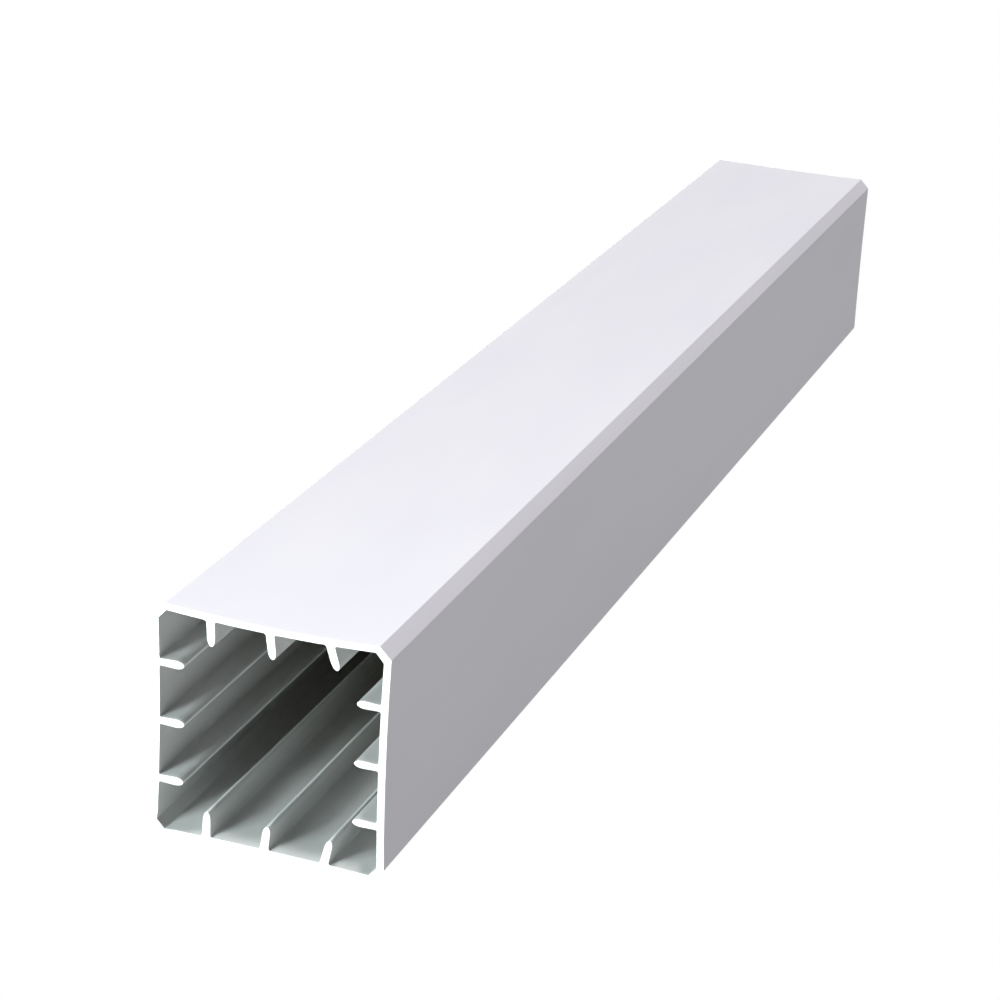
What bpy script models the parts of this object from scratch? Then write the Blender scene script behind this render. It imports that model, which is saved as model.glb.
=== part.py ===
"""Post sleeve: the hollow cover that slips down over a sawn timber railing post.

It is one length of square extruded section, sawn square at both ends. Three ribs stand on the
inside of each wall and centre the sleeve on the post. It lies on its side: its length runs
along Y, its underside rests at Z = 0, and the origin is under its middle.
"""

import math

import bpy

# Sizes in metres
POST_WIDTH = 0.0889  # the sawn post that goes inside, a nominal four inches by four
POST_CLEARANCE = 0.00385  # from each face of the post to the ribs of a straight wall
RIB_HEIGHT = 0.0135  # from the wall's inner face to the rib's tip
RIB_THICKNESS = 0.0041
RIB_PITCH = 0.033  # from one rib to the next
RIB_NOSE = 0.005  # length of the rounded nose
RIB_FILLET = 0.0012  # radius where a rib runs into its wall
WALL = 0.0032
CORNER_CHAMFER = 0.0065  # leg of the 45 degree bevel along each outer corner
LENGTH = 0.9906

# How far the middle of a wall has sunk in while the plastic cooled
SIDE_BOW = 0.0010
TOP_BOW = 0.0019

# Lean of each rib in degrees, counted anticlockwise round the section as seen from the -Y end
RIBS_UPRIGHT = (0.0, 0.0, 0.0)
RIBS_BOTTOM = (0.0, 4.0, 13.0)
RIBS_TOP = (-15.0, -6.0, -1.0)

# Number of flats that stand for each curve
WALL_FLATS = 7
FILLET_FLATS = 3
NOSE_FLATS = 8

OUTER_WIDTH = POST_WIDTH + 2 * (POST_CLEARANCE + RIB_HEIGHT + WALL)
HALF_WIDTH = OUTER_WIDTH / 2
OUTER_HALF_FLAT = HALF_WIDTH - CORNER_CHAMFER

# The bevel inside each corner keeps the wall's thickness across the corner
INNER_CHAMFER = CORNER_CHAMFER - (2 - math.sqrt(2)) * WALL
INNER_HALF_FLAT = HALF_WIDTH - WALL - INNER_CHAMFER

# Each wall: its direction round the section, how far it sinks in, and its ribs
WALLS = (
    {"along": (1, 0), "bow": SIDE_BOW, "ribs": RIBS_BOTTOM},
    {"along": (0, 1), "bow": SIDE_BOW, "ribs": RIBS_UPRIGHT},
    {"along": (-1, 0), "bow": TOP_BOW, "ribs": RIBS_TOP},
    {"along": (0, -1), "bow": SIDE_BOW, "ribs": RIBS_UPRIGHT},
)

PLASTIC_COLOUR = (0.87, 0.87, 0.90, 1.0)
PLASTIC_ROUGHNESS = 0.4


def clear_scene():
    for item in list(bpy.data.objects):
        bpy.data.objects.remove(item)


def wall_point(wall, along, depth):
    """Place in the section of a point on a wall: along it from its middle, and in from its outer side."""
    across, up = wall["along"]
    inward = depth - HALF_WIDTH
    return (across * along - up * inward, HALF_WIDTH + up * along + across * inward)


def sunk(wall, along):
    """How far a wall has sunk in at a distance along it from its middle."""
    return wall["bow"] * (1 - (along / OUTER_HALF_FLAT) ** 2)


def rib_profile():
    """One upright rib from root to root, as distances along the wall and up from it."""
    half = RIB_THICKNESS / 2
    nose = min(RIB_NOSE, RIB_HEIGHT - RIB_FILLET)
    root = []
    for step in range(FILLET_FLATS + 1):
        angle = math.radians(90) * step / FILLET_FLATS
        along = -half - RIB_FILLET * (1 - math.sin(angle))
        root.append((along, RIB_FILLET * (1 - math.cos(angle))))
    tip = []
    for step in range(NOSE_FLATS + 1):
        angle = math.radians(180) * (1 - step / NOSE_FLATS)
        tip.append((half * math.cos(angle), RIB_HEIGHT - nose * (1 - math.sin(angle))))
    return root + tip + [(-along, rise) for along, rise in reversed(root)]


def outer_outline():
    """The outside of the section: four sunken walls joined by the corner bevels."""
    points = []
    for wall in WALLS:
        for step in range(WALL_FLATS + 1):
            along = OUTER_HALF_FLAT * (2 * step / WALL_FLATS - 1)
            points.append(wall_point(wall, along, sunk(wall, along)))
    return points


def inner_outline():
    """The inside of the section, up and down every rib."""
    points = []
    for wall in WALLS:
        first_rib = -RIB_PITCH * (len(wall["ribs"]) - 1) / 2
        points.append(wall_point(wall, -INNER_HALF_FLAT, WALL + sunk(wall, INNER_HALF_FLAT)))
        for number, lean in enumerate(wall["ribs"]):
            centre = first_rib + number * RIB_PITCH
            for along, rise in rib_profile():
                depth = WALL + sunk(wall, centre + along) + rise
                leaned = centre + along + rise * math.tan(math.radians(lean))
                points.append(wall_point(wall, leaned, depth))
        points.append(wall_point(wall, INNER_HALF_FLAT, WALL + sunk(wall, INNER_HALF_FLAT)))
    return points


def add_outline(curve, points):
    spline = curve.splines.new("POLY")
    spline.points.add(len(points) - 1)
    for place, (across, up) in zip(spline.points, points):
        place.co = (across, up, 0.0, 1.0)
    spline.use_cyclic_u = True


def white_plastic():
    material = bpy.data.materials.new("white_extruded_plastic")
    material.use_nodes = True
    shader = material.node_tree.nodes["Principled BSDF"]
    shader.inputs["Base Color"].default_value = PLASTIC_COLOUR
    shader.inputs["Roughness"].default_value = PLASTIC_ROUGHNESS
    shader.inputs["Metallic"].default_value = 0.0
    return material


def post_sleeve():
    """The section, drawn as a flat curve with a hole in it, extruded and laid down along Y."""
    section = bpy.data.curves.new("post_sleeve", "CURVE")
    section.dimensions = "2D"
    section.fill_mode = "BOTH"
    add_outline(section, outer_outline())
    add_outline(section, inner_outline())
    section.extrude = LENGTH / 2
    section.materials.append(white_plastic())
    sleeve = bpy.data.objects.new("post_sleeve", section)
    sleeve.rotation_euler = (math.radians(90), 0.0, 0.0)
    return sleeve


def main():
    clear_scene()
    parts = bpy.data.collections.new("post_sleeve")
    bpy.context.scene.collection.children.link(parts)
    parts.objects.link(post_sleeve())


main()
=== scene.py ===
# %% [markdown]
# # A sleeve for a railing post
#
# A post sleeve is the white plastic cover that slips down over a rough sawn post on a deck.
# It is an extrusion: soft plastic is pushed through a steel plate with a hole of this shape,
# cooled, and sawn to length. So the whole object follows from one drawing, its cross section,
# and that is how it is modelled here: draw the section flat, pull it out to its length, then
# add what the factory adds to it, such as sunken walls, softened edges and sawn ends.

# %% Load the frame
import math

import bmesh
import bpy
from mathutils import Matrix, Vector


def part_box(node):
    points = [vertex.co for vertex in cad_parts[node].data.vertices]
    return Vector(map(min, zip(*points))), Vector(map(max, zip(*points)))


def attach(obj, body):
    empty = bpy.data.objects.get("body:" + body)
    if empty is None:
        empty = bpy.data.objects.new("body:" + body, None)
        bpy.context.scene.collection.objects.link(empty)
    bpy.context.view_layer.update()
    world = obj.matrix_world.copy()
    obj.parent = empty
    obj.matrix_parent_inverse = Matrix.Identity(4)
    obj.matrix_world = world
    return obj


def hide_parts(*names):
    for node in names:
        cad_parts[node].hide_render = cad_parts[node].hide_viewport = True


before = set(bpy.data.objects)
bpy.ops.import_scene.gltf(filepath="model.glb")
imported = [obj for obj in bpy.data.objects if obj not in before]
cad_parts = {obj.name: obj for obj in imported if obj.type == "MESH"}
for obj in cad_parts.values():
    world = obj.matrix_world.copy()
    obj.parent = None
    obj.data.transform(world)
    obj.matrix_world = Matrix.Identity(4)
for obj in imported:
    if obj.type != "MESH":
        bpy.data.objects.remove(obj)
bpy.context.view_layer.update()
low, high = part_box("post_sleeve")
print("the sleeve's box in millimetres:", [round(1000 * side) for side in high - low])

# %% [markdown]
# ## Sizes
#
# The outside comes from the frame, so that the looks always fit the solid. The rest are the
# sizes that a drawing of the extrusion would give: the wall, the ribs that centre the sleeve
# on its post, and the bevel along each corner.

# %% Sizes of the section, in metres
MM = 0.001
WIDTH = high.x - low.x
HALF = WIDTH / 2
LENGTH = high.y - low.y
WALL = 3.2 * MM
CHAMFER = 6.5 * MM
RIB_HEIGHT = 13.5 * MM
RIB_THICKNESS = 4.1 * MM
RIB_PITCH = 33 * MM
RIB_NOSE = 4.5 * MM
RIB_FILLET = 1.2 * MM
RIB_CENTRES = (-RIB_PITCH, 0.0, RIB_PITCH)

FLAT = HALF - CHAMFER  # from the middle of a wall to its bevel
INNER_FLAT = HALF - WALL - (CHAMFER - (2 - math.sqrt(2)) * WALL)  # the same on the inner face
MIDDLE = Vector((0, 0, HALF))  # the section's own middle
print(f"a wall is {2000 * FLAT:.1f} mm wide between its bevels and {1000 * WALL:.1f} mm thick")

# %% [markdown]
# ## The camera
#
# The camera goes in before the modelling, because every later choice is judged through it.
# It stands to the right of the open end and looks down along the sleeve through a long lens,
# so the far end shrinks to about two thirds of the near one. It leans a little to one side.

# %% Camera
CAMERA_PLACE = Vector((0.5265, -1.6574, 0.7083))
CAMERA_TURN = math.radians(19.42)  # round to the right of the open end
CAMERA_DIP = math.radians(21.69)  # down from level
CAMERA_ROLL = math.radians(3.0)
LENS = 101.27  # millimetres, as is the sensor
SENSOR_WIDTH = 36

camera_data = bpy.data.cameras.new("camera")
camera_data.sensor_width = SENSOR_WIDTH
camera_data.lens = LENS
camera = bpy.data.objects.new("camera", camera_data)
bpy.context.scene.collection.objects.link(camera)
aim = Vector((
    -math.sin(CAMERA_TURN) * math.cos(CAMERA_DIP),
    math.cos(CAMERA_TURN) * math.cos(CAMERA_DIP),
    -math.sin(CAMERA_DIP),
))
level = aim.to_track_quat("-Z", "Y").to_matrix().to_4x4()
camera.matrix_world = Matrix.Translation(CAMERA_PLACE) @ level @ Matrix.Rotation(CAMERA_ROLL, 4, "Z")
bpy.context.scene.camera = camera
print(f"the near end is {(CAMERA_PLACE - Vector((0, low.y, HALF))).length:.2f} m from the camera")

# %% [markdown]
# ## The shape of a rib
#
# A rib's side follows a quarter circle at the root, where the plastic flows out of the wall,
# then runs straight up, and ends in half an ellipse at the nose. A list of stations up the rib
# says all of that: how high each one is, and half the rib's thickness there.

# %% Stations up a rib
FILLET_STEPS = 4
NOSE_STEPS = 9


def rib_stations():
    """Height up the rib and half its thickness there, from just above the root to the tip."""
    half = RIB_THICKNESS / 2
    stations = []
    for step in range(1, FILLET_STEPS + 1):
        angle = math.radians(90) * step / FILLET_STEPS
        stations.append((RIB_FILLET * (1 - math.cos(angle)), half + RIB_FILLET * (1 - math.sin(angle))))
    for step in range(NOSE_STEPS + 1):
        angle = math.radians(90) * step / NOSE_STEPS
        stations.append((RIB_HEIGHT - RIB_NOSE * (1 - math.sin(angle)), half * math.cos(angle)))
    return stations


print(f"a rib has {len(rib_stations())} stations")

# %% [markdown]
# ## One wall of the section
#
# The section is drawn in the XZ plane. A wall starts as four corners, and cuts across it mark
# where the ribs stand. Each rib is then pulled out of its own short edge, station by station.
# Pulling an edge keeps the rib and the wall one piece of plastic, which a separate box pushed
# into the wall would not be.

# %% One wall with its ribs
ROOT_HALF = RIB_THICKNESS / 2 + RIB_FILLET  # half the width of a rib's foot
BAY_STEPS = 4
SAME_PLACE = 1e-6  # two places closer than this, in metres, count as one


def cut(bm, place, direction):
    whole = bm.verts[:] + bm.edges[:] + bm.faces[:]
    bmesh.ops.bisect_plane(bm, geom=whole, plane_co=place, plane_no=direction, dist=SAME_PLACE)


def in_foot(place, centre):
    """Whether a place is on the wall's inner face and within the foot of the rib at centre."""
    return abs(place.z - WALL) < SAME_PLACE and abs(place.x - centre) < ROOT_HALF + SAME_PLACE


def pull_rib(bm, centre):
    edge = next(e for e in bm.edges if all(in_foot(v.co, centre) for v in e.verts))
    about_rib = Matrix.Translation((-centre, 0, 0))
    rise_before, half_before = 0.0, ROOT_HALF
    for rise, half in rib_stations():
        pulled = bmesh.ops.extrude_edge_only(bm, edges=[edge])["geom"]
        tops = [v for v in pulled if isinstance(v, bmesh.types.BMVert)]
        bmesh.ops.translate(bm, verts=tops, vec=(0, 0, rise - rise_before))
        bmesh.ops.scale(bm, verts=tops, vec=(half / half_before, 1, 1), space=about_rib)
        edge = next(e for e in tops[0].link_edges if e.other_vert(tops[0]) in tops)
        rise_before, half_before = rise, half


def draw_wall(bm):
    corners = ((-FLAT, 0, 0), (FLAT, 0, 0), (INNER_FLAT, 0, WALL), (-INNER_FLAT, 0, WALL))
    bm.faces.new([bm.verts.new(corner) for corner in corners])
    marks = [-INNER_FLAT]
    for centre in RIB_CENTRES:
        marks += [centre - ROOT_HALF, centre + ROOT_HALF]
    marks.append(INNER_FLAT)
    for start, end in zip(marks[0::2], marks[1::2]):
        for step in range(BAY_STEPS + 1):
            across = start + (end - start) * step / BAY_STEPS
            if abs(across) < INNER_FLAT - SAME_PLACE:
                cut(bm, (across, 0, 0), (1, 0, 0))
    for centre in RIB_CENTRES:
        pull_rib(bm, centre)


section = bmesh.new()
draw_wall(section)
print(f"one wall: {len(section.verts)} points and {len(section.faces)} faces")

# %% [markdown]
# ## Four walls and their corners
#
# The same wall stands on all four sides, so it is spun round the section's middle in quarter
# turns, as copies. Each corner is then a bridge from the end of one wall to the end of the
# next, which makes the bevel outside and the matching one inside at the wall's own thickness.

# %% Spin the wall and bridge the corners
QUARTER = math.radians(90)
COPIES = 3


def is_wall_end(edge):
    """The short edge across the wall where it meets a corner's bevel."""
    reach = sorted(max(abs(v.co.x), abs(v.co.z - HALF)) for v in edge.verts)
    side = min(min(abs(v.co.x), abs(v.co.z - HALF)) for v in edge.verts)
    goes_across = abs(reach[0] - (HALF - WALL)) < SAME_PLACE and abs(reach[1] - HALF) < SAME_PLACE
    return goes_across and side > FLAT - WALL


def square_up(bm):
    bmesh.ops.spin(
        bm, geom=bm.verts[:] + bm.edges[:] + bm.faces[:], cent=MIDDLE, axis=(0, 1, 0),
        angle=COPIES * QUARTER, steps=COPIES, use_duplicate=True,
    )
    ends = [e for e in bm.edges if len(e.link_faces) == 1 and is_wall_end(e)]
    for right in (-1, 1):
        for up in (-1, 1):
            corner = MIDDLE + Vector((right * HALF, 0, up * HALF))
            pair = sorted(ends, key=lambda e: (e.verts[0].co + e.verts[1].co - 2 * corner).length)[:2]
            bmesh.ops.bridge_loops(bm, edges=pair)
    bmesh.ops.remove_doubles(bm, verts=bm.verts, dist=SAME_PLACE)


square_up(section)
section_area = sum(f.calc_area() for f in section.faces)
print(f"whole section: {len(section.faces)} faces, {section_area / MM ** 2:.0f} square millimetres")

# %% [markdown]
# ## Pulled out to its length
#
# The extruder's work is one operator: the flat section is extruded along Y. It keeps a hair's
# breadth free at both ends for the broken edge that the saw leaves.

# %% Extrude the section
SAW_EDGE = 0.12 * MM  # how far the sawn face stands past its own broken edge
sleeve_mesh = section  # from here on it is the whole sleeve
bmesh.ops.translate(sleeve_mesh, verts=sleeve_mesh.verts, vec=(0, low.y + SAW_EDGE, 0))
pulled = bmesh.ops.extrude_face_region(sleeve_mesh, geom=sleeve_mesh.faces[:])["geom"]
far_points = [v for v in pulled if isinstance(v, bmesh.types.BMVert)]
bmesh.ops.translate(sleeve_mesh, verts=far_points, vec=(0, LENGTH - 2 * SAW_EDGE, 0))
bmesh.ops.recalc_face_normals(sleeve_mesh, faces=sleeve_mesh.faces)
print(f"closed solid of {sleeve_mesh.calc_volume() * 1e6:.0f} cubic centimetres")

# %% [markdown]
# ## Softened corner edges
#
# A steel die has no perfectly sharp corner, and hot plastic pulls itself a little rounder
# still. The eight long edges beside the outer bevels get a radius of 0.7 mm and the eight
# inside get 1 mm, in three steps. That is small, but it is what catches the light there.

# %% Round the long corner edges
OUTER_RADIUS = 0.7 * MM
INNER_RADIUS = 1.0 * MM
ROUND_STEPS = 3
HALF_OF_TURN = math.radians(22.5)  # the surface turns by 45 degrees at each of these edges


def long_edges_at(bm, across, up):
    """Lengthwise edges this far across and up from the section's middle, in all four quarters."""
    found = []
    for e in bm.edges:
        a, b = (v.co for v in e.verts)
        lengthwise = abs(a.x - b.x) < SAME_PLACE and abs(a.z - b.z) < SAME_PLACE
        if lengthwise and abs(abs(a.x) - across) < SAME_PLACE and abs(abs(a.z - HALF) - up) < SAME_PLACE:
            found.append(e)
    return found


def soften(bm, flat, reach, radius):
    edges = long_edges_at(bm, flat, reach) + long_edges_at(bm, reach, flat)
    bmesh.ops.bevel(
        bm, geom=edges, offset=radius * math.tan(HALF_OF_TURN), offset_type="OFFSET",
        segments=ROUND_STEPS, profile=0.5, affect="EDGES", material=-1, clamp_overlap=True,
    )
    return len(edges)


print("outer edges rounded:", soften(sleeve_mesh, FLAT, HALF, OUTER_RADIUS))
print("inner edges rounded:", soften(sleeve_mesh, INNER_FLAT, HALF - WALL, INNER_RADIUS))

# %% [markdown]
# ## Sawn ends
#
# The saw leaves a flat face whose rim is slightly broken. An inset of the whole end face with
# a little depth makes that rim, and follows every rib without any extra work.

# %% Break the sawn edges
RIM = 0.2 * MM
FACES_END = 0.99  # how much of its normal a face turns along Y when it is an end face


def end_faces(bm):
    return [f for f in bm.faces if abs(f.normal.y) > FACES_END]


for side in (-1, 1):
    faces = [f for f in end_faces(sleeve_mesh) if f.normal.y * side > 0]
    bmesh.ops.inset_region(sleeve_mesh, faces=faces, thickness=RIM, depth=SAW_EDGE, use_even_offset=True)
print("end faces:", len(end_faces(sleeve_mesh)))

# %% [markdown]
# ## Which face has which finish
#
# One piece of plastic shows four finishes: the outer skin, the raw inside, the sawn ends, and
# the very tips of the ribs, which are painted whiter as a painted highlight along each crest.
# The faces are told apart now, while the section is still straight and a face's depth in from
# the outside says where it belongs. Later cuts and bends keep what each face was given.

# %% Give each face its finish
SKIN_SLOT, RAW_SLOT, SAWN_SLOT, TIP_HIGHLIGHT_SLOT = range(4)
PAINTED_HIGHLIGHT_DEPTH = 0.30 * MM  # of the nose that gets the painted highlight
FACES_RIM = 0.5  # the broken rim slopes, and is sawn too


def depth_inside(place):
    """Distance in from the straight eight-sided outline of the section."""
    across, up = abs(place.x), abs(place.z - HALF)
    return min(HALF - across, HALF - up, (2 * HALF - CHAMFER - across - up) / math.sqrt(2))


def finish_of(face):
    depth = depth_inside(face.calc_center_median())
    if abs(face.normal.y) > FACES_RIM:
        return SAWN_SLOT
    # the crest band of each nose gets the painted highlight
    if depth > WALL + RIB_HEIGHT - PAINTED_HIGHLIGHT_DEPTH:
        return TIP_HIGHLIGHT_SLOT
    return RAW_SLOT if depth > WALL / 2 else SKIN_SLOT


for f in sleeve_mesh.faces:
    f.material_index = finish_of(f)
slots = [f.material_index for f in sleeve_mesh.faces]
print("faces of skin, inside, sawn ends and tips:", [slots.count(slot) for slot in range(4)])

# %% [markdown]
# ## Sunken walls and leaning ribs
#
# While the plastic cooled, the middle of every wall sank in by about a millimetre, the upper
# one by nearly two, and a few ribs came out of the die leaning. The core of the die, which
# leaves the hollow, also sat a little low and to the left. So the walls aren't equally thick,
# and no row of ribs is quite where the drawing has it. A table keeps what is different about
# each wall, so that the drawing itself can stay simple.

# %% How each wall came out
FAR_SHARE = 0.35  # of the sinking that is left at the far end
CORE_SHIFT = Vector((-0.61 * MM, 0, -0.83 * MM))
CORE_DEPTH = 1.2 * MM  # a point deeper in than this moves with the core

# The bevel inside the lower left corner lies this much further out than the other three
THIN_CORNER = Vector((-0.45 * MM, 0, -0.35 * MM))

# How far a wall's middle sank in and how much thinner it is, how much longer each of its ribs is
# and how far it is moved to the right or up, all in millimetres. Then each rib's lean to the right
# in degrees, and their thickness at the root and under the nose against the drawn one.
AS_MADE = {
    "left": {
        "sink": 1.0, "thinner": -0.14, "longer": (0.4, 0.4, 0.4), "moved": (-0.28, -0.28, -0.28),
        "leans": (0.0, 0.0, 0.0), "widths": (0.90, 1.10),
    },
    "right": {
        "sink": 1.0, "thinner": -0.14, "longer": (0.0, -0.3, -0.5), "moved": (-0.55, -0.55, -0.55),
        "leans": (0.0, 0.0, 0.0), "widths": (0.86, 1.00),
    },
    "upper": {
        "sink": 1.9, "thinner": 0.38, "longer": (0.5, 0.15, -0.6), "moved": (0.36, 0.02, -0.25),
        "leans": (3.0, 8.0, 16.8), "widths": (1.12, 1.08),
    },
    "lower": {
        "sink": 1.0, "thinner": 0.38, "longer": (0.85, -0.1, 0.4), "moved": (-0.68, -0.89, -0.38),
        "leans": (1.0, 6.5, 12.5), "widths": (1.15, 1.03),
    },
}
print("the middles sank in by, in millimetres:", {name: made["sink"] for name, made in AS_MADE.items()})

# %% [markdown]
# ## Bend the straight sleeve
#
# The walls are first cut across every few centimetres, so that they can bend along the length
# too: the sinking is strongest at the near end. One rule then moves every point of the mesh.
# It finds the wall that a point belongs to, sinks it, and leans it if it is part of a rib.

# %% Let the walls sink and the ribs lean
CROSS_CUTS = 24
RIB_REACH = ROOT_HALF + RIM
UNDER_ROOT = 2 * RIM  # how far down into the wall a rib's own movement starts

for number in range(1, CROSS_CUTS):
    cut(sleeve_mesh, (0, low.y + LENGTH * number / CROSS_CUTS, 0), (0, 1, 0))


def wall_of(place):
    """The wall that a point belongs to: name, outward direction, place along it, depth in from outside."""
    across, up = place.x, place.z - HALF
    if abs(across) > abs(up):
        name = "right" if across > 0 else "left"
        return name, Vector((math.copysign(1, across), 0, 0)), up, HALF - abs(across)
    name = "upper" if up > 0 else "lower"
    return name, Vector((0, 0, math.copysign(1, up))), across, HALF - abs(up)


def bend(place):
    """Where a point of the straight sleeve ends up."""
    name, outward, along, depth = wall_of(place)
    made = AS_MADE[name]
    moved = place.copy()
    if depth_inside(place) > CORE_DEPTH:
        moved += CORE_SHIFT + outward * made["thinner"] * MM
        if abs(along) > INNER_FLAT - INNER_RADIUS and place.x < 0 and place.z < HALF:
            moved += THIN_CORNER
    if abs(along) >= FLAT:
        return moved
    nearness = (high.y - place.y) / LENGTH
    share = FAR_SHARE + (1 - FAR_SHARE) * nearness
    moved -= outward * made["sink"] * MM * share * (1 - (along / FLAT) ** 2)
    rise = depth - WALL
    number = min(range(3), key=lambda n: abs(along - RIB_CENTRES[n]))
    off_centre = along - RIB_CENTRES[number]
    if rise < -UNDER_ROOT or abs(off_centre) > RIB_REACH:
        return moved
    up_rib = min(rise / (RIB_HEIGHT - RIB_NOSE), 1.0)
    root, nose = made["widths"]
    swelling = off_centre * (root + (nose - root) * up_rib - 1)
    leaning = rise * math.tan(math.radians(made["leans"][number]))
    sideways = Vector((0, 0, 1)) if outward.x else Vector((1, 0, 0))
    moved += sideways * (swelling + leaning + made["moved"][number] * MM)
    moved -= outward * made["longer"][number] * MM * rise / RIB_HEIGHT
    return moved


for v in sleeve_mesh.verts:
    v.co = bend(v.co)
print("faces after bending:", len(sleeve_mesh.faces))

# %% [markdown]
# ## Colours and a node helper
#
# Colours are written as the hex values a designer would pick on screen, and one function turns
# them to the linear values that a shader works in, by the sRGB standard's own curve. One more
# adds a node with its settings and links, which keeps each material down to the few lines that
# describe it.

# %% Colour and node helpers
def linear(hex_colour):
    channels = [int(hex_colour[i:i + 2], 16) / 255 for i in (1, 3, 5)]
    return (*[c / 12.92 if c <= 0.04045 else ((c + 0.055) / 1.055) ** 2.4 for c in channels], 1.0)


def node(tree, kind, settings=None, inputs=None):
    """Adds a node. A tuple of (node, output name) as an input makes a link, and any other value is set."""
    added = tree.nodes.new(kind)
    for name, value in (settings or {}).items():
        setattr(added, name, value)
    for name, value in (inputs or {}).items():
        if isinstance(value, tuple) and isinstance(value[0], bpy.types.Node):
            tree.links.new(value[0].outputs[value[1]], added.inputs[name])
        else:
            added.inputs[name].default_value = value
    return added


def new_material(name):
    material = bpy.data.materials.new(name)
    material.use_nodes = True
    material.node_tree.nodes.clear()
    return material, material.node_tree


print(f"half grey on screen is {linear('#808080')[0]:.2f} in linear light")

# %% [markdown]
# ## Marks that run along the length
#
# Whatever the die and the cooling leave on an extrusion runs along it. So every pattern here is
# a noise on the Object coordinates, with grains of a real size across the sleeve and many times
# as long along it.

# %% Stretched noise
NOISE_LOW = 0.3  # most of a noise lies between these two
NOISE_HIGH = 0.7


def stretched_noise(tree, spacing, stretch):
    """Noise whose grains are spacing wide across the sleeve and stretch times as long along it."""
    place = node(tree, "ShaderNodeTexCoord")
    grid = node(tree, "ShaderNodeMapping", inputs={
        "Vector": (place, "Object"),
        "Scale": (1 / spacing, 1 / (spacing * stretch), 1 / spacing),
    })
    return node(tree, "ShaderNodeTexNoise", inputs={
        "Vector": (grid, "Vector"), "Scale": 1.0, "Detail": 2.0, "Roughness": 0.5,
    })


def between(tree, factor, lowest, highest):
    """A value from lowest to highest as a noise goes through its middle range."""
    return node(tree, "ShaderNodeMapRange", inputs={
        "Value": (factor, "Fac"), "From Min": NOISE_LOW, "From Max": NOISE_HIGH,
        "To Min": lowest, "To Max": highest,
    })


print("a noise is read from", NOISE_LOW, "to", NOISE_HIGH)

# %% [markdown]
# ## The outer skin
#
# The outside is rigid PVC with white pigment, drawn through cold steel that sets its size. It
# is satin, very even, and faintly cool. Two marks of its making are there when looked for. The
# die leaves hair lines along the length, and the cooled skin has a slight unevenness like the
# peel of an orange.

# %% Material: extruded white PVC skin
PVC_IOR = 1.53
SKIN = "#D8D6DC"
SKIN_SHADE = "#D5D3DA"
SKIN_ROUGHNESS = (0.56, 0.64)
SKIN_CLOUD = 45 * MM
SKIN_RELIEF = 0.02 * MM
DIE_LINE = 1.6 * MM  # real ones are finer, about a quarter of this, too fine to show
DIE_LINE_STRENGTH = 0.35
PEEL = 2.5 * MM
PEEL_STRENGTH = 0.25


def skin_material():
    material, tree = new_material("extruded_pvc_satin_white_skin")
    lines = stretched_noise(tree, DIE_LINE, stretch=300)
    peel = stretched_noise(tree, PEEL, stretch=1.5)
    clouds = stretched_noise(tree, SKIN_CLOUD, stretch=3)
    tint = node(tree, "ShaderNodeMix", {"data_type": "RGBA"}, {
        "Factor": (between(tree, clouds, 0.0, 1.0), "Result"), "A": linear(SKIN), "B": linear(SKIN_SHADE),
    })
    peel_bump = node(tree, "ShaderNodeBump", inputs={
        "Strength": PEEL_STRENGTH, "Distance": SKIN_RELIEF, "Height": (peel, "Fac"),
    })
    line_bump = node(tree, "ShaderNodeBump", inputs={
        "Strength": DIE_LINE_STRENGTH, "Distance": SKIN_RELIEF,
        "Height": (lines, "Fac"), "Normal": (peel_bump, "Normal"),
    })
    shader = node(tree, "ShaderNodeBsdfPrincipled", inputs={
        "Base Color": (tint, "Result"), "Roughness": (between(tree, lines, *SKIN_ROUGHNESS), "Result"),
        "IOR": PVC_IOR, "Normal": (line_bump, "Normal"),
    })
    node(tree, "ShaderNodeOutputMaterial", inputs={"Surface": (shader, "BSDF")})
    return material


skin = skin_material()
print(f"{skin.name}: {len(skin.node_tree.nodes)} nodes")

# %% [markdown]
# ## The inside
#
# Nothing touches the walls inside while they cool, so they keep more of the melt's own gloss
# than the outside does, with broader lines along their length from the die's core. Near the
# ends the inside is a plain light grey. Deep inside it is painted darker and a little warmer,
# which is painted shade for the dim middle of the hollow. The distance from the middle of the
# length, read from the Object coordinates, blends the two.

# %% Material: raw inside of the extrusion, with painted shade deep inside
RAW_END = "#D2D2D1"
# the deep colour below is painted shade: darker and warmer than the plastic near the ends
RAW_DEEP_PAINTED_SHADE = "#B0ACA5"
RAW_ROUGHNESS = (0.42, 0.54)
PAINTED_SHADE_REACH = 300 * MM  # how far in from an end the light tone goes
RAW_CLOUD = 30 * MM
CLOUD_TONE = "#FAFAFA"  # the tone is multiplied by this where a cloud is
DRAG_LINE = 2.4 * MM
DRAG_LINE_STRENGTH = 0.5
DRAG_RELIEF = 0.05 * MM


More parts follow.
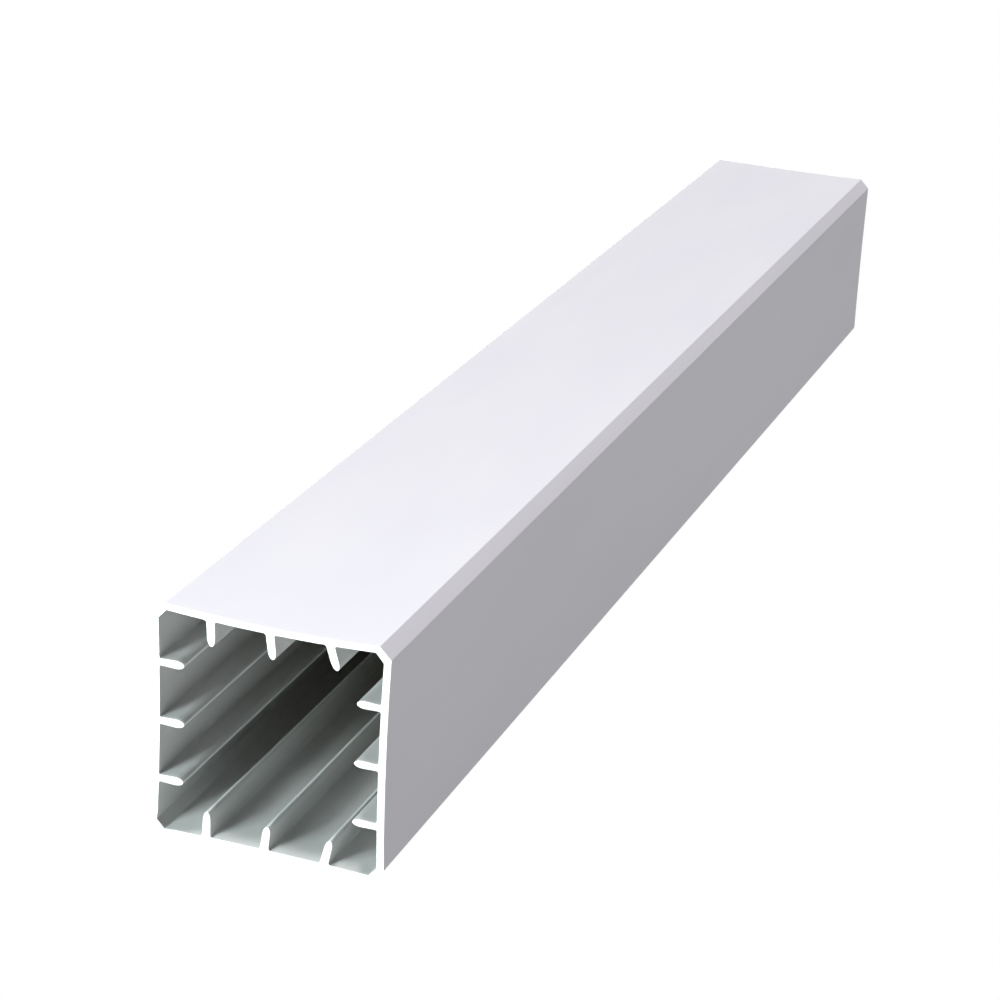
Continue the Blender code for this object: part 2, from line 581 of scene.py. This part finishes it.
def raw_material():
    material, tree = new_material("extruded_pvc_raw_inside_painted_shade")
    lines = stretched_noise(tree, DRAG_LINE, stretch=120)
    clouds = stretched_noise(tree, RAW_CLOUD, stretch=4)
    place = node(tree, "ShaderNodeTexCoord")
    along = node(tree, "ShaderNodeSeparateXYZ", inputs={"Vector": (place, "Object")})
    from_middle = node(tree, "ShaderNodeMath", {"operation": "ABSOLUTE"}, {0: (along, "Y")})
    # painted shade: the deep colour fades to the plain one over the last stretch at each end
    painted_shade_fade = node(tree, "ShaderNodeMapRange", {"interpolation_type": "SMOOTHSTEP"}, {
        "Value": (from_middle, "Value"), "From Min": LENGTH / 2 - PAINTED_SHADE_REACH, "From Max": LENGTH / 2,
    })
    tone = node(tree, "ShaderNodeMix", {"data_type": "RGBA"}, {
        "Factor": (painted_shade_fade, "Result"), "A": linear(RAW_DEEP_PAINTED_SHADE), "B": linear(RAW_END),
    })
    tint = node(tree, "ShaderNodeMix", {"data_type": "RGBA", "blend_type": "MULTIPLY"}, {
        "Factor": (between(tree, clouds, 0.0, 1.0), "Result"), "A": (tone, "Result"), "B": linear(CLOUD_TONE),
    })
    line_bump = node(tree, "ShaderNodeBump", inputs={
        "Strength": DRAG_LINE_STRENGTH, "Distance": DRAG_RELIEF, "Height": (lines, "Fac"),
    })
    shader = node(tree, "ShaderNodeBsdfPrincipled", inputs={
        "Base Color": (tint, "Result"), "Roughness": (between(tree, lines, *RAW_ROUGHNESS), "Result"),
        "IOR": PVC_IOR, "Normal": (line_bump, "Normal"),
    })
    node(tree, "ShaderNodeOutputMaterial", inputs={"Surface": (shader, "BSDF")})
    return material


raw = raw_material()
print(f"{raw.name}: {len(raw.node_tree.nodes)} nodes")

# %% [markdown]
# ## The rib tips
#
# The tips are painted whiter than the faces beside them, and are smoother: a painted highlight
# along the crest of each rounded nose. They are only about a millimetre and a half wide, and
# show as a thin light line along every rib.

# %% Material: rib tips with a painted highlight
TIP_PAINTED_HIGHLIGHT = "#F8FAFA"
TIP_ROUGHNESS = 0.35
HIGHLIGHT_PATCH = 0.3  # how far the tone of the inside comes through where the painted highlight is weakest


def tip_highlight_material():
    material, tree = new_material("extruded_pvc_tip_painted_highlight")
    highlight_patches = stretched_noise(tree, DRAG_LINE, stretch=40)
    # painted highlight: the near-white tip colour, broken in patches by the tone of the inside
    tint = node(tree, "ShaderNodeMix", {"data_type": "RGBA"}, {
        "Factor": (between(tree, highlight_patches, 0.0, HIGHLIGHT_PATCH), "Result"), "A": linear(TIP_PAINTED_HIGHLIGHT), "B": linear(RAW_END),
    })
    shader = node(tree, "ShaderNodeBsdfPrincipled", inputs={
        "Base Color": (tint, "Result"), "Roughness": TIP_ROUGHNESS, "IOR": PVC_IOR,
    })
    node(tree, "ShaderNodeOutputMaterial", inputs={"Surface": (shader, "BSDF")})
    return material


tip = tip_highlight_material()
print(f"{tip.name}: {len(tip.node_tree.nodes)} nodes")

# %% [markdown]
# ## The sawn ends
#
# A sawn face shows the plastic itself, whiter and quite matt, with the fine arcs that the
# teeth of a circular saw leave. They are rings about the saw's axle, which stood below the
# sleeve and to its left. A wave texture turns through 20 radians for each unit of its scale,
# so the scale follows from the distance between two marks.

# %% Material: sawn plastic
SAWN = "#FBFBFA"
SAWN_SHADE = "#F3F3F2"
SAWN_ROUGHNESS = 0.8
TOOTH_MARK = 2.96 * MM  # real ones are about half a millimetre apart, too fine to show
TOOTH_STRENGTH = 0.5
TOOTH_RELIEF = 0.03 * MM
FROM_AXLE = (0.11, 0.0, 0.16)  # metres from the saw's axle to the origin
WAVE_RADIANS = 20


def sawn_material():
    material, tree = new_material("sawn_pvc_end")
    place = node(tree, "ShaderNodeTexCoord")
    round_axle = node(tree, "ShaderNodeMapping", inputs={"Vector": (place, "Object"), "Location": FROM_AXLE})
    arcs = node(tree, "ShaderNodeTexWave", {"wave_type": "RINGS", "rings_direction": "Y"}, {
        "Vector": (round_axle, "Vector"), "Scale": math.tau / (WAVE_RADIANS * TOOTH_MARK),
        "Distortion": 1.5, "Detail": 2.0, "Detail Scale": 1.0,
    })
    tint = node(tree, "ShaderNodeMix", {"data_type": "RGBA"}, {
        "Factor": (arcs, "Fac"), "A": linear(SAWN_SHADE), "B": linear(SAWN),
    })
    marks = node(tree, "ShaderNodeBump", inputs={
        "Strength": TOOTH_STRENGTH, "Distance": TOOTH_RELIEF, "Height": (arcs, "Fac"),
    })
    shader = node(tree, "ShaderNodeBsdfPrincipled", inputs={
        "Base Color": (tint, "Result"), "Roughness": SAWN_ROUGHNESS, "IOR": PVC_IOR,
        "Normal": (marks, "Normal"),
    })
    node(tree, "ShaderNodeOutputMaterial", inputs={"Surface": (shader, "BSDF")})
    return material


sawn = sawn_material()
print(f"{sawn.name}: {len(sawn.node_tree.nodes)} nodes")

# %% [markdown]
# ## Dress the sleeve
#
# One object carries all the finishes, because it is one piece of plastic. They go on in the
# order of the slots that the faces were given. Smooth shading with sharp edges kept at the
# bevels, and normals weighted by the faces' sizes, keep the long flat walls flat beside their
# narrow rounded edges.

# %% Make the object
SHARP_TURN = math.radians(32)  # an edge that turns by more than this stays sharp

mesh = bpy.data.meshes.new("sleeve")
sleeve_mesh.to_mesh(mesh)
sleeve_mesh.free()
mesh.shade_smooth()
mesh.set_sharp_from_angle(angle=SHARP_TURN)
for material in (skin, raw, sawn, tip):
    mesh.materials.append(material)
sleeve = bpy.data.objects.new("sleeve", mesh)
bpy.context.scene.collection.objects.link(sleeve)
even = sleeve.modifiers.new("even shading", "WEIGHTED_NORMAL")
even.keep_sharp = True
print(f"sleeve: {len(mesh.polygons)} faces")

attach(sleeve, "root")
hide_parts("post_sleeve")

# %% [markdown]
# ## Floor and backdrop
#
# Long white mouldings are often photographed on a light table: a floor of backlit white
# acrylic. It leaves no shadow, and it lights the upright sides and the roof of the hollow from
# below. The floor here glows with plain white at full brightness, so it is white in the
# picture, and the side that no lamp reaches comes out an even grey. Beyond the floor is a white
# backdrop, far enough away to give the sleeve no light: it is only seen.

# %% Floor and backdrop
WHITE = "#FFFFFF"
FLOOR_SIDE = 16.0
FLOOR_GLOW = 1.0

floor_mesh = bpy.data.meshes.new("floor")
floor_shape = bmesh.new()
bmesh.ops.create_grid(floor_shape, x_segments=1, y_segments=1, size=FLOOR_SIDE / 2)
floor_shape.to_mesh(floor_mesh)
floor_shape.free()
floor = bpy.data.objects.new("floor", floor_mesh)
bpy.context.scene.collection.objects.link(floor)
floor_material, floor_tree = new_material("backlit_white_acrylic_floor")
glow = node(floor_tree, "ShaderNodeEmission", inputs={"Color": linear(WHITE), "Strength": FLOOR_GLOW})
node(floor_tree, "ShaderNodeOutputMaterial", inputs={"Surface": (glow, "Emission")})
floor_mesh.materials.append(floor_material)

backdrop = bpy.data.worlds.new("white_backdrop")
backdrop.use_nodes = True
backdrop.node_tree.nodes["Background"].inputs["Color"].default_value = linear(WHITE)
for ray in ("diffuse", "glossy", "transmission", "scatter"):
    setattr(backdrop.cycles_visibility, ray, False)
bpy.context.scene.world = backdrop
print("floor:", FLOOR_SIDE, "m square, with a white backdrop beyond it")

# %% [markdown]
# ## Lamps
#
# Five lamps do the rest. The overhead one is far away and lights the upper wall and the bevel
# evenly, and a softbox above the sleeve makes the upper wall fade a little towards the far
# end. It hangs behind the open end, so that none of its light falls into the hollow. The other
# three stand in front and to the left and shine into the hollow. One is far away. Two are small
# softboxes 0.6 m from the open end and only a little higher. They are so small and so low that
# each rib throws a wedge of shadow to its right, and so near that their light fades on its way
# in. A far lamp with some width is a sun in Blender, and its angle sets how soft its shadows
# are. The Standard view shows colours as they are written, with no film curve over them.

# %% Lamps
COOL_WHITE = "#EEF4FA"
FAINT_TEAL = "#E6F7F7"
NEAR_DISTANCE = 0.6
OPEN_END = Vector((0, low.y, HALF))


def towards(round_left, up):
    """The direction that is round_left degrees to the left of the open end's front, and up degrees high."""
    turn, rise = math.radians(round_left), math.radians(up)
    return Vector((-math.sin(turn) * math.cos(rise), -math.cos(turn) * math.cos(rise), math.sin(rise)))


def lamp_of(name, kind, strength, colour):
    data = bpy.data.lights.new(name, kind)
    data.energy = strength
    data.color = linear(colour)[:3]
    lamp = bpy.data.objects.new(name, data)
    bpy.context.scene.collection.objects.link(lamp)
    return lamp


def far_lamp(name, strength, colour, spread, direction):
    lamp = lamp_of(name, "SUN", strength, colour)
    lamp.data.angle = math.radians(spread)
    lamp.rotation_euler = (-direction).to_track_quat("-Z", "Y").to_euler()


def softbox(name, power, colour, size, place, target):
    lamp = lamp_of(name, "AREA", power, colour)
    lamp.data.shape = "SQUARE"
    lamp.data.size = size
    lamp.location = place
    lamp.rotation_euler = (target - place).to_track_quat("-Z", "Y").to_euler()


ABOVE = Vector((-0.3, -0.4, 1.2))
UPPER_WALL = Vector((0, -0.3, 2 * HALF))
NEAR_FRONT = OPEN_END + NEAR_DISTANCE * towards(round_left=22, up=12)
NEAR_LEFT = OPEN_END + NEAR_DISTANCE * towards(round_left=33, up=14)

far_lamp("overhead", 3.55, WHITE, spread=12, direction=towards(round_left=90, up=83))
softbox("above", 1.15, WHITE, size=0.5, place=ABOVE, target=UPPER_WALL)
far_lamp("front", 0.5, COOL_WHITE, spread=9, direction=towards(round_left=22, up=30))
softbox("near_front", 3.0, FAINT_TEAL, size=0.07, place=NEAR_FRONT, target=OPEN_END)
softbox("near_left", 2.4, FAINT_TEAL, size=0.10, place=NEAR_LEFT, target=OPEN_END)

bpy.context.scene.view_settings.view_transform = "Standard"
